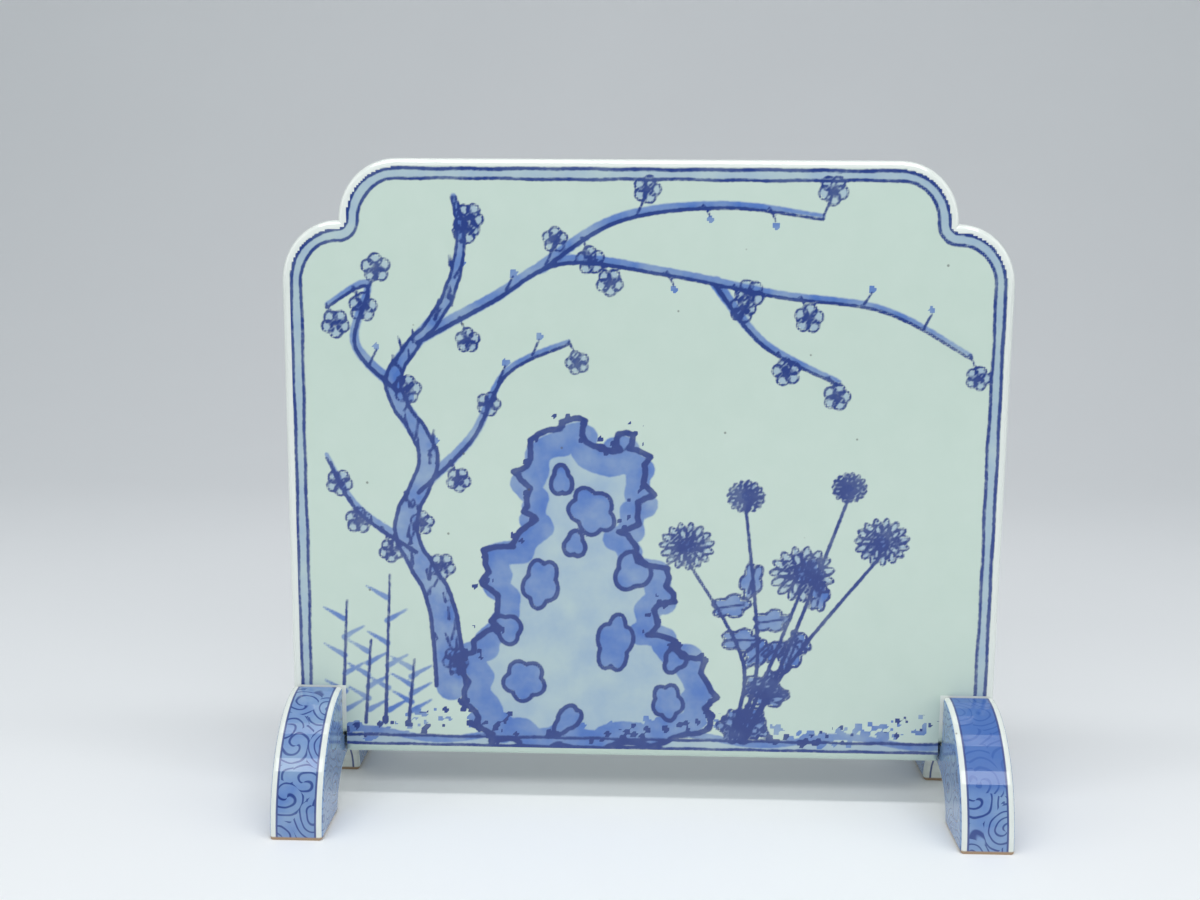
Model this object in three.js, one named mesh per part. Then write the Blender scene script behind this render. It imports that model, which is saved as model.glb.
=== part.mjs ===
// Inkstone screen: a glazed porcelain tile standing in two bridge-arch feet.
// Millimetres, +X to the right along the panel, -Y to the viewer, +Z up.
// Origin: centre of the footprint, on the surface that the feet rest on.
import * as THREE from 'three';

const PANEL_W = 210;        // width over the panel's ends
const PANEL_TOP = 191.5;    // height of the top edge
const PANEL_BOTTOM = 14.5;  // height of the bottom edge between the feet
const PANEL_T = 12;         // thickness of the slab
const PANEL_ROUND = 2;      // rounding of the arrises
const CUSP_X = 88.4;        // inward cusp of each upper corner
const CUSP_Z = 174;
const FOOT_W = 15.2;        // width of a foot along X
const FOOT_HALF_D = 36.8;   // half of the depth of a foot along Y
const FOOT_TOP = 35;        // height at which a foot meets the panel's face
const FOOT_ROUND = 1.1;
const SADDLE_Z = 20;        // floor of the saddle that the panel sits in
const ARCH_HALF = 16;       // half of the arch's width at the floor
const ARCH_TOP = 12.5;      // height of the arch
const GAP = 0.3;            // luting line between two pieces
const ARC_STEPS = 14;

const half = PANEL_W / 2;
const inner = half - FOOT_W - 0.4;

function arc(points, cx, cz, rx, rz, from, to) {
  for (let i = 0; i <= ARC_STEPS; i++) {
    const a = from + (to - from) * i / ARC_STEPS;
    points.push(new THREE.Vector2(cx + rx * Math.cos(a), cz + rz * Math.sin(a)));
  }
}

function clean(points) {
  return points.filter((p, i) => i === 0 || p.distanceTo(points[i - 1]) > 1e-4);
}

// Outline of the slab, seen from the front.
function panelOutline() {
  const lowR = CUSP_Z - 156.5;            // lower lobe, beside the cusp
  const topR = PANEL_TOP - CUSP_Z;        // upper lobe, above the cusp
  const right = [];
  arc(right, CUSP_X, 156.5, half - CUSP_X, lowR, 0, Math.PI / 2);
  arc(right, CUSP_X - 17, CUSP_Z, 17, topR, 0, Math.PI / 2);
  const pts = [
    new THREE.Vector2(-inner, PANEL_BOTTOM), new THREE.Vector2(inner, PANEL_BOTTOM),
    new THREE.Vector2(inner, SADDLE_Z + GAP), new THREE.Vector2(half, SADDLE_Z + GAP),
    ...right,
    ...right.slice().reverse().map(p => new THREE.Vector2(-p.x, p.y)),
    new THREE.Vector2(-half, SADDLE_Z + GAP), new THREE.Vector2(-inner, SADDLE_Z + GAP),
  ];
  return new THREE.Shape(clean(pts));
}

// Side profile of a foot: two legs joined by a bridge under the panel.
function footOutline() {
  const face = PANEL_T / 2 + GAP;
  const pts = [];
  arc(pts, face, 0, FOOT_HALF_D - face, FOOT_TOP, 0, Math.PI / 2);
  pts.push(new THREE.Vector2(face, SADDLE_Z), new THREE.Vector2(-face, SADDLE_Z));
  arc(pts, -face, 0, FOOT_HALF_D - face, FOOT_TOP, Math.PI / 2, Math.PI);
  arc(pts, 0, 0, ARCH_HALF, ARCH_TOP, Math.PI, 0);
  return new THREE.Shape(clean(pts));
}

function slab(shape, depth, round, basis) {
  const g = new THREE.ExtrudeGeometry(shape, {
    depth: depth - 2 * round, steps: 1, curveSegments: 8,
    bevelEnabled: true, bevelThickness: round, bevelSize: round, bevelOffset: -round, bevelSegments: 4,
  });
  g.translate(0, 0, -(depth - 2 * round) / 2);
  g.applyMatrix4(basis);
  return g;
}

const acrossY = new THREE.Matrix4().makeBasis(
  new THREE.Vector3(1, 0, 0), new THREE.Vector3(0, 0, 1), new THREE.Vector3(0, -1, 0));
const acrossX = new THREE.Matrix4().makeBasis(
  new THREE.Vector3(0, 1, 0), new THREE.Vector3(0, 0, 1), new THREE.Vector3(1, 0, 0));

function glaze(color) {
  return new THREE.MeshStandardMaterial({ color, roughness: 0.12, metalness: 0 });
}

const screen = new THREE.Group();
const panel = new THREE.Mesh(slab(panelOutline(), PANEL_T, PANEL_ROUND, acrossY), glaze(0xc4d3c9));
panel.name = 'panel';
screen.add(panel);
for (const [name, side] of [['left_foot', -1], ['right_foot', 1]]) {
  const foot = new THREE.Mesh(slab(footOutline(), FOOT_W, FOOT_ROUND, acrossX), glaze(0xaebdd2));
  foot.name = name;
  foot.position.x = side * (half - FOOT_W / 2);
  screen.add(foot);
}

export default screen;
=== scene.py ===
import bpy, math, random
import numpy as np
from mathutils import Matrix, Vector


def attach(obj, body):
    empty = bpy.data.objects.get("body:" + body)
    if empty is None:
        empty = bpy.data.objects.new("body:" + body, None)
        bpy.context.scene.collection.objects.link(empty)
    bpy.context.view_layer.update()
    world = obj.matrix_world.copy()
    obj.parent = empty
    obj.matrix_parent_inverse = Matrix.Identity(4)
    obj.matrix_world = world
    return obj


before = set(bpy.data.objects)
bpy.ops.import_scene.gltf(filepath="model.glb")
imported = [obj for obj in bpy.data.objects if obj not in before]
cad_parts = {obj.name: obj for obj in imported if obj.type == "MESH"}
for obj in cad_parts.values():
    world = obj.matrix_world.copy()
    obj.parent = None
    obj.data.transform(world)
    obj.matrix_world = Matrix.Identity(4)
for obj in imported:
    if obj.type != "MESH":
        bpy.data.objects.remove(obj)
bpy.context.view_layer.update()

random.seed(7)
MM = 0.001
scene = bpy.context.scene
scene.view_settings.view_transform = "Standard"

# ---------------------------------------------------------------- node help
class Graph:
    def __init__(self, name):
        self.mat = bpy.data.materials.new(name)
        self.mat.use_nodes = True
        self.t = self.mat.node_tree
        self.bsdf = self.t.nodes["Principled BSDF"]
    def put(self, sock, v):
        if isinstance(v, bpy.types.NodeSocket):
            self.t.links.new(v, sock)
        else:
            sock.default_value = v
    def node(self, kind, ins=None, out=0, **props):
        n = self.t.nodes.new(kind)
        for k, v in props.items():
            setattr(n, k, v)
        for k, v in (ins or {}).items():
            self.put(n.inputs[k], v)
        return n.outputs[out]
    def m(self, op, a, b=0.0, c=0.0):
        return self.node("ShaderNodeMath", {0: a, 1: b, 2: c}, operation=op)
    def mix(self, f, a, b):
        n = self.t.nodes.new("ShaderNodeMix"); n.data_type = "RGBA"
        self.put(n.inputs[0], f); self.put(n.inputs[6], a); self.put(n.inputs[7], b)
        return n.outputs[2]
    def edge(self, v, lo, hi):            # 1 where v is under lo, 0 over hi
        return self.node("ShaderNodeMapRange", {0: v, 1: lo, 2: hi, 3: 1.0, 4: 0.0},
                         interpolation_type="SMOOTHSTEP")
    def noise(self, vec, scale, detail=3.0):
        return self.node("ShaderNodeTexNoise", {"Vector": vec, "Scale": scale, "Detail": detail})

WHITE = (0.70, 0.745, 0.71, 1); CELADON = (0.50, 0.62, 0.55, 1)
DARK = (0.010, 0.036, 0.205, 1); MID = (0.060, 0.155, 0.47, 1); PALE = (0.24, 0.36, 0.53, 1)
SPECK = (0.05, 0.05, 0.045, 1); BISCUIT = (0.33, 0.22, 0.13, 1)

def finish(g, color, pos):
    soft = g.noise(pos, 35.0); fine = g.noise(pos, 900.0)
    vor = g.node("ShaderNodeTexVoronoi", {"Vector": pos, "Scale": 210.0})
    pick = g.node("ShaderNodeTexVoronoi", {"Vector": pos, "Scale": 210.0}, out=1)
    rare = g.m("GREATER_THAN", g.node("ShaderNodeSeparateColor", {0: pick}), 0.93)
    speck = g.m("MULTIPLY", g.edge(vor, 0.05, 0.11), rare)
    color = g.mix(g.m("MULTIPLY", speck, 0.6), color, SPECK)
    g.put(g.bsdf.inputs["Base Color"], color)
    g.put(g.bsdf.inputs["Roughness"], g.m("MULTIPLY_ADD", fine, 0.08, 0.10))
    h = g.m("ADD", g.m("MULTIPLY", soft, 1.0), g.m("MULTIPLY", fine, 0.03))
    b = g.node("ShaderNodeBump", {"Height": h, "Strength": 0.12, "Distance": 0.002})
    g.put(g.bsdf.inputs["Normal"], b)
    g.bsdf.inputs["Coat Weight"].default_value = 0.35
    g.bsdf.inputs["Coat Roughness"].default_value = 0.04
    g.bsdf.inputs["IOR"].default_value = 1.5
    return g.mat

# --------------------------------------------------- painting of the panel
W2, TOP, BOT = 105.0, 191.5, 14.5
right = [(88.4 + 16.6 * math.cos(a), 156.5 + 17.5 * math.sin(a)) for a in np.linspace(0, math.pi / 2, 15)]
right += [(71.4 + 17 * math.cos(a), 174 + 17.5 * math.sin(a)) for a in np.linspace(0, math.pi / 2, 15)]
OUT = [(-W2, BOT), (W2, BOT)] + right + [(-x, z) for x, z in reversed(right)]
STEP = 0.62
xs = np.arange(-W2, W2 + STEP, STEP); zs = np.arange(BOT, TOP + STEP, STEP)
X, Z = np.meshgrid(xs, zs)

def seg(ax, az, bx, bz, px, pz):
    dx, dz = bx - ax, bz - az
    t = np.clip(((px - ax) * dx + (pz - az) * dz) / max(dx * dx + dz * dz, 1e-9), 0, 1)
    return np.hypot(px - ax - t * dx, pz - az - t * dz), t

D = np.full(X.shape, 1e3)
for i in range(len(OUT)):
    D = np.minimum(D, seg(*OUT[i], *OUT[(i + 1) % len(OUT)], X, Z)[0])

def channels():
    return {k: np.full(X.shape, 9.0) for k in ("line", "wash", "pale")}

def stroke(ch, pts, r0, r1=None):
    r1 = r0 if r1 is None else r1
    n = len(pts) - 1
    for i in range(n):
        (ax, az), (bx, bz) = pts[i], pts[i + 1]
        x0, x1 = sorted((ax, bx)); z0, z1 = sorted((az, bz)); m = 5
        i0, i1 = np.searchsorted(xs, x0 - m), np.searchsorted(xs, x1 + m)
        j0, j1 = np.searchsorted(zs, z0 - m), np.searchsorted(zs, z1 + m)
        if i1 <= i0 or j1 <= j0: continue
        d, t = seg(ax, az, bx, bz, X[j0:j1, i0:i1], Z[j0:j1, i0:i1])
        r = r0 + (r1 - r0) * (i + t) / n
        ch[j0:j1, i0:i1] = np.minimum(ch[j0:j1, i0:i1], d - r)

def curve(pts, n=10):
    p = [pts[0]] + list(pts) + [pts[-1]]; out = []
    for i in range(1, len(p) - 2):
        a, b, c, d = (np.array(q, float) for q in p[i - 1:i + 3])
        for t in np.linspace(0, 1, n, endpoint=False):
            out.append(tuple(0.5 * (2 * b + (c - a) * t + (2 * a - 5 * b + 4 * c - d) * t * t + (3 * b - a - 3 * c + d) * t ** 3)))
    return out + [tuple(pts[-1])]

def loop(cx, cz, r, lobes=0, amp=0.0, squash=1.0, turn=0.0, n=40):
    out = []
    for a in np.linspace(0, 2 * math.pi, n + 1):
        q = r * (1 + amp * abs(math.sin(a * lobes / 2)))
        x, z = q * math.cos(a), q * math.sin(a) * squash
        out.append((cx + x * math.cos(turn) - z * math.sin(turn), cz + x * math.sin(turn) + z * math.cos(turn)))
    return out

def area(ch, pts):
    px, pz = np.array(pts).T
    inside = np.zeros(X.shape, bool)
    for i in range(len(pts) - 1):
        c = (pz[i] > Z) != (pz[i + 1] > Z)
        inside ^= c & (X < (px[i + 1] - px[i]) * (Z - pz[i]) / ((pz[i + 1] - pz[i]) or 1e-9) + px[i])
    ch[inside] = np.minimum(ch[inside], -0.6)

def blossom(c, x, z, r):
    for k in range(5):
        a = k * 2 * math.pi / 5 + x
        lp = loop(x + r * .62 * math.cos(a), z + r * .62 * math.sin(a), r * .5, n=14)
        area(c["pale"], lp); stroke(c["line"], lp, 0.16)
    for k in range(7):
        a = k * 0.9 + z
        stroke(c["line"], [(x, z), (x + r * .45 * math.cos(a), z + r * .45 * math.sin(a))], 0.13)

def mum(c, x, z, r):
    for ring, n in ((1.0, 15), (0.62, 10)):
        for k in range(n):
            a = k * 2 * math.pi / n + ring
            lp = loop(x + r * ring * .7 * math.cos(a), z + r * ring * .58 * math.sin(a), r * .3, squash=.42, turn=a, n=12)
            area(c["pale"], lp); stroke(c["line"], lp, 0.17)
    area(c["wash"], loop(x, z, r * .26)); stroke(c["line"], loop(x, z, r * .26, n=14), 0.22)

def leaf(c, x, z, r, turn):
    lp = loop(x, z, r, lobes=5, amp=.5, squash=.6, turn=turn, n=30)
    area(c["wash"], lp); stroke(c["line"], lp, 0.22)
    stroke(c["line"], [(x - r * math.cos(turn), z - r * math.sin(turn)), (x + r * math.cos(turn), z + r * math.sin(turn))], 0.2)

def border(c, inner_line=True):
    wob = 0.22 * np.sin(X * .11 + 1) * np.cos(Z * .09) + 0.1 * np.sin(X * .37 + Z * .31)
    c["line"] = np.minimum(c["line"], np.abs(D - 2.9 + wob) - 0.34)
    c["line"] = np.minimum(c["line"], np.abs(D - 5.7 - wob) - 0.30)
    c["pale"] = np.minimum(c["pale"], np.abs(D - 4.3) - 1.3)

F = channels(); border(F)
tr = curve([(-57, 36), (-60, 62), (-70, 84), (-63, 106), (-73, 128), (-58, 150), (-53, 168), (-55, 181)])
stroke(F["wash"], tr, 4.4, 0.6)
for o in (-1, 1):
    stroke(F["line"], [(x + o * (4.4 - 3.9 * i / len(tr)), z + .5 * math.sin(i * 1.7)) for i, (x, z) in enumerate(tr)], 0.5, 0.25)
for k in range(46):
    i = random.randrange(len(tr) - 8); x, z = tr[i]; s = random.uniform(-3, 3)
    stroke(F["line"], [(x + s, z), (x + s + random.uniform(-1, 1), z + random.uniform(1.5, 4))], .3, .12)
arms = [curve(p) for p in ([(-72, 126), (-84, 139), (-80, 156), (-92, 150)], [(-66, 140), (-44, 152), (-24, 163), (6, 160), (38, 154), (68, 150), (93, 137)],
        [(-30, 161), (-8, 175), (22, 179), (50, 176)], [(-66, 96), (-50, 112), (-40, 131), (-22, 140)], [(20, 157), (34, 140), (56, 129)], [(-67, 78), (-84, 90), (-93, 106)])]
for a in arms:
    stroke(F["wash"], a, 1.7, 0.4); stroke(F["line"], [(x, z - 1.0) for x, z in a], 0.5, 0.25)
for a in arms + [tr]:
    for i in range(6, len(a), 6):
        x, z = a[i]; s = random.choice((-1, 1)); q = random.uniform(3, 5)
        stroke(F["line"], [(x, z), (x + 2, z + s * q)], 0.25, 0.12)
        if random.random() < .62: blossom(F, x + 2.5, z + s * (q + 2.2), random.uniform(3.0, 3.9))
        else: area(F["wash"], loop(x + 2, z + s * (q + 1), 1.3, n=12))
rock = curve([(-50, 24), (-54, 44), (-43, 56), (-47, 74), (-33, 86), (-36, 103), (-22, 117), (-12, 108), (-4, 112), (2, 96), (-5, 82), (9, 68), (3, 54), (18, 44), (20, 26), (4, 19), (-22, 17), (-42, 19), (-50, 24)])
rock = [(x + 1.5 * math.sin(i * 1.13) + .6 * math.sin(i * 2.9), z + 1.3 * math.sin(i * .83)) for i, (x, z) in enumerate(rock)]
rock[-1] = rock[0]
area(F["pale"], rock); stroke(F["line"], rock, 0.7)
stroke(F["wash"], [(x * .88 - 2, 58 + (z - 58) * .92) for x, z in rock], 3.4)
for x, z, r, s in ((-24, 99, 3.4, .7), (-3, 72, 4, 1.1), (-22, 26, 4, .6), (-40, 54, 3, 1.2), (10, 45, 3, .8), (-20, 80, 3, .8)):
    lp = loop(x, z, r, lobes=3, amp=.4, squash=s, turn=z)
    area(F["wash"], lp); stroke(F["line"], lp, 0.5)
for x, z, r, s in ((-30, 68, 6, .7), (-15, 90, 5, 1.2), (-8, 50, 7, .6), (-35, 38, 5, 1.0), (8, 32, 4.5, .8)):
    lp = loop(x, z, r, lobes=5, amp=.3, squash=s, turn=x)
    area(F["wash"], lp); stroke(F["line"], lp, 0.45)
for k in range(70):
    i = random.randrange(len(rock)); x, z = rock[i]
    area(F["line"], loop(x + random.uniform(-3, 3), z + random.uniform(-2, 3), random.uniform(.5, .95), n=9))
for x, z, r in ((13, 80, 8), (47, 72, 9.5), (70, 82, 8), (60, 98, 5), (30, 95, 5.5)):
    stem = curve([(26 + x * .08, 21), (27 + x * .25, 45), (x, z - r * .5)])
    stroke(F["line"], stem, 0.5, 0.3); mum(F, x, z, r)
    for i in range(3, len(stem) - 3, 4):
        leaf(F, stem[i][0] + random.uniform(-6, 6), stem[i][1] + random.uniform(-3, 3), random.uniform(2.6, 4.2), random.uniform(0, 6))
for x, h in ((-90, 62), (-83, 50), (-77, 70), (-70, 44)):
    stroke(F["line"], [(x, 24), (x + 2, h)], 0.4, 0.2)
    for k in range(6):
        z = 28 + (h - 28) * k / 6; s = (-1) ** k
        stroke(F["wash"], [(x + 1, z), (x + 1 + s * 6, z + 3.5)], 0.75, 0.15)
for k in range(260):
    x = random.uniform(-95, 93); z = 24 + 2.5 * math.sin(x * .09) + random.uniform(-3, 3)
    area(F["line" if k % 3 == 0 else "wash"], loop(x, z, random.uniform(.5, 1.3), n=8))
stroke(F["wash"], [(x, 20.6 + 1.5 * math.sin(x * .13)) for x in range(-94, 95, 4)], 0.9)

B = channels(); border(B)
sp = curve([(-60, 70), (-30, 96), (0, 104), (34, 122)])
stroke(B["wash"], sp, 1.6, 0.4); stroke(B["line"], [(x, z - .9) for x, z in sp], .3)
for i in range(4, len(sp), 5): blossom(B, sp[i][0], sp[i][1] + 5 * (-1) ** i, 3.6)

def panel_material():
    g = Graph("painted_panel_glaze_look")
    pos = g.node("ShaderNodeTexCoord", out=3)
    at = {k: g.node("ShaderNodeAttribute", out=2, attribute_name=k) for k in ("line", "wash", "pale", "rim")}
    n1 = g.noise(pos, 120.0); n2 = g.noise(pos, 700.0)
    fray = g.m("MULTIPLY_ADD", n2, 0.5, -0.25)
    col = g.mix(g.edge(at["rim"], 1.2, 3.2), g.mix(n1, CELADON, (0.54, 0.65, 0.585, 1)), WHITE)
    col = g.mix(g.m("MULTIPLY", g.edge(g.m("ADD", at["pale"], fray), -0.2, 0.45), g.m("MULTIPLY_ADD", n1, .9, .15)), col, PALE)
    col = g.mix(g.m("MULTIPLY", g.edge(g.m("ADD", at["wash"], fray), -0.2, 0.5), g.m("MULTIPLY_ADD", n1, 1.0, .3)), col, MID)
    col = g.mix(g.m("MULTIPLY", g.edge(g.m("ADD", at["line"], fray), -0.05, 0.42), g.m("MULTIPLY_ADD", n1, .5, .72)), col, DARK)
    return finish(g, col, pos)

def skin(name, c, side, mat):
    ok = D > 2.05
    inside = np.zeros(X.shape, bool)
    px, pz = np.array(OUT + [OUT[0]]).T
    for i in range(len(OUT)):
        cr = (pz[i] > Z) != (pz[i + 1] > Z)
        inside ^= cr & (X < (px[i + 1] - px[i]) * (Z - pz[i]) / ((pz[i + 1] - pz[i]) or 1e-9) + px[i])
    foot = (np.abs(X) > 89.3) & (Z < 35.5)
    ok &= inside & ~foot
    idx = -np.ones(X.shape, int); idx[ok] = np.arange(ok.sum())
    v = np.stack([X[ok] * MM, np.full(ok.sum(), side * 6.04 * MM), Z[ok] * MM], 1)
    a, b, d, e = idx[:-1, :-1], idx[:-1, 1:], idx[1:, 1:], idx[1:, :-1]
    keep = (a >= 0) & (b >= 0) & (d >= 0) & (e >= 0)
    q = np.stack([a[keep], b[keep], d[keep], e[keep]], 1)
    if side > 0: q = q[:, ::-1]
    me = bpy.data.meshes.new(name)
    me.from_pydata(v.tolist(), [], q.tolist())
    for k in ("line", "wash", "pale"):
        me.attributes.new(k, "FLOAT", "POINT").data.foreach_set("value", c[k][ok].astype(np.float32))
    me.attributes.new("rim", "FLOAT", "POINT").data.foreach_set("value", D[ok].astype(np.float32))
    me.polygons.foreach_set("use_smooth", [True] * len(q))
    me.materials.append(mat)
    ob = bpy.data.objects.new(name, me); scene.collection.objects.link(ob)
    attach(ob, "root")

look = panel_material()
skin("painted_front", F, -1, look)
skin("painted_back", B, 1, look)

# ------------------------------------------------ scrolls on feet and edges
def scroll_material(name, feet):
    g = Graph(name)
    pos = g.node("ShaderNodeTexCoord", out=3)
    x, y, z = (g.node("ShaderNodeSeparateXYZ", {0: pos}, out=i) for i in range(3))
    nv = g.node("ShaderNodeNewGeometry", out=1)
    nx, ny, nz = (g.node("ShaderNodeSeparateXYZ", {0: nv}, out=i) for i in range(3))
    sc = 105.0 if feet else 120.0
    warp = g.node("ShaderNodeVectorMath", {0: pos, 1: g.node("ShaderNodeVectorMath", {0: g.node("ShaderNodeTexNoise", {"Vector": pos, "Scale": 90.0}, out=1), "Scale": 0.0035}, operation="SCALE")}, operation="ADD")
    vd = g.node("ShaderNodeTexVoronoi", {"Vector": warp, "Scale": sc})
    vp = g.node("ShaderNodeTexVoronoi", {"Vector": warp, "Scale": sc}, out=2)
    dv = g.node("ShaderNodeVectorMath", {0: warp, 1: vp}, operation="SUBTRACT")
    dx, dy, dz = (g.node("ShaderNodeSeparateXYZ", {0: dv}, out=i) for i in range(3))
    ang = g.m("ARCTAN2", g.m("ADD", dz, g.m("MULTIPLY", dy, .6)), dx)
    spiral = g.m("SINE", g.m("ADD", g.m("MULTIPLY", vd, 17.0), ang))
    line = g.edge(g.m("ABSOLUTE", spiral), 0.22, 0.55)
    n1 = g.noise(pos, 110.0)
    art = g.mix(g.m("MULTIPLY_ADD", n1, 1.5, -0.35), PALE, MID)
    art = g.mix(g.m("MULTIPLY", line, g.m("MULTIPLY_ADD", n1, .6, .55)), art, DARK)
    if feet:
        side = g.m("GREATER_THAN", g.m("ABSOLUTE", nx), 0.7)
        upper = g.m("MULTIPLY", g.m("GREATER_THAN", x, 0.0), g.edge(g.m("MULTIPLY", z, -1.0), -0.019, -0.015))
        upper = g.m("MULTIPLY", upper, g.m("SUBTRACT", 1.0, side))
        art = g.mix(g.m("MULTIPLY", upper, 0.8), art, (0.04, 0.12, 0.40, 1))
        art = g.mix(g.m("MULTIPLY", side, 0.35), art, PALE)
        off = g.m("ABSOLUTE", g.m("SUBTRACT", g.m("ABSOLUTE", x), 0.0974))
        strip = g.m("MAXIMUM", g.edge(off, 0.0051, 0.0057), side)
        r2 = g.m("ADD", g.m("POWER", g.m("DIVIDE", y, 0.017), 2.0), g.m("POWER", g.m("DIVIDE", z, 0.0136), 2.0))
        strip = g.m("MULTIPLY", strip, g.m("GREATER_THAN", r2, 1.0))
        white = g.m("SUBTRACT", 1.0, strip)
        col = g.mix(strip, WHITE, art)
        edge = g.m("MULTIPLY", g.edge(g.m("ABSOLUTE", g.m("SUBTRACT", off, 0.0055)), 0.0002, 0.0004), g.m("SUBTRACT", 1.0, side))
        col = g.mix(g.m("MULTIPLY", edge, .9), col, DARK)
        col = g.mix(g.edge(z, 0.0006, 0.0011), col, BISCUIT)
    else:
        thin = g.edge(g.m("ABSOLUTE", y), 0.0036, 0.0042)
        col = g.mix(g.m("MULTIPLY", thin, line), WHITE, MID)
        low = g.m("MULTIPLY", g.edge(z, 0.020, 0.028), 1.0)
        col = g.mix(low, col, CELADON)
    return finish(g, col, pos)

def dress(node, mat):
    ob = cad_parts[node]
    ob = ob if hasattr(ob, "material_slots") else bpy.data.objects[node]
    if not ob.material_slots: ob.data.materials.append(mat)
    for s in ob.material_slots: s.material = mat

foot_look = scroll_material("painted_foot_glaze_look", True)
dress("left_foot", foot_look); dress("right_foot", foot_look)
dress("panel", scroll_material("panel_edge_glaze_look", False))

# ------------------------------------------------------- stage and lighting
sm = [(-1.5, 0.0), (0.5, 0.0)] + [(0.5 + .9 * math.sin(a), .9 - .9 * math.cos(a)) for a in np.linspace(.02, math.pi / 2, 60)] + [(1.4, 2.6)]
n = len(sm)
me = bpy.data.meshes.new("sweep_floor")
me.from_pydata([(s * 2.2, y, z) for y, z in sm for s in (-1, 1)], [], [(2 * i, 2 * i + 1, 2 * i + 3, 2 * i + 2) for i in range(n - 1)])
me.polygons.foreach_set("use_smooth", [True] * (n - 1))
floor = bpy.data.objects.new("sweep_floor", me); scene.collection.objects.link(floor)
g = Graph("paper_sweep"); p = g.node("ShaderNodeTexCoord", out=3)
g.put(g.bsdf.inputs["Base Color"], g.mix(g.noise(p, 6.0), (0.84, 0.855, 0.87, 1), (0.87, 0.885, 0.90, 1)))
g.bsdf.inputs["Roughness"].default_value = 0.6
me.materials.append(g.mat)

def lamp(name, at, to, sx, sy, watts):
    l = bpy.data.lights.new(name, "AREA"); l.shape = "RECTANGLE"; l.size = sx; l.size_y = sy; l.energy = watts
    o = bpy.data.objects.new(name, l); o.location = at
    o.rotation_euler = (Vector(to) - Vector(at)).to_track_quat("-Z", "Y").to_euler()
    scene.collection.objects.link(o)
lamp("top_strip", (0, -0.22, 0.85), (0, 0, 0.1), 1.0, 0.10, 3.0)
lamp("front_strip", (0, -0.75, 0.75), (0, 0, 0.1), 1.2, 0.25, 3.4)
lamp("left_box", (-0.9, -0.4, 0.5), (0, 0, 0.1), 0.7, 0.7, 1.8)
lamp("right_box", (0.9, -0.4, 0.5), (0, 0, 0.1), 0.7, 0.7, 1.8)
w = bpy.data.worlds.new("studio") if scene.world is None else scene.world
scene.world = w; w.use_nodes = True
w.node_tree.nodes["Background"].inputs[0].default_value = (0.86, 0.92, 0.96, 1)
w.node_tree.nodes["Background"].inputs[1].default_value = 0.43

# ------------------------------------------------------------------ camera
f, cx, cy, cz, yaw, pitch, roll = 1400.0, -0.29, -408.6, 173.3, -0.031, 0.160, 0.007
fwd = Vector((math.sin(yaw) * math.cos(pitch), math.cos(yaw) * math.cos(pitch), -math.sin(pitch)))
rt = Vector((math.cos(yaw), -math.sin(yaw), 0)); up = rt.cross(fwd)
r2 = rt * math.cos(roll) + up * math.sin(roll); u2 = up * math.cos(roll) - rt * math.sin(roll)
cam = bpy.data.objects.new("photo_camera", bpy.data.cameras.new("photo_camera"))
scene.collection.objects.link(cam)
cam.data.sensor_width = 36.0; cam.data.sensor_fit = "HORIZONTAL"; cam.data.lens = f / 1200 * 36; cam.data.clip_start = 0.01
rot = Matrix((r2, u2, -fwd)).transposed().to_4x4()
cam.matrix_world = Matrix.Translation(Vector((cx, cy, cz)) * MM) @ rot
scene.camera = cam

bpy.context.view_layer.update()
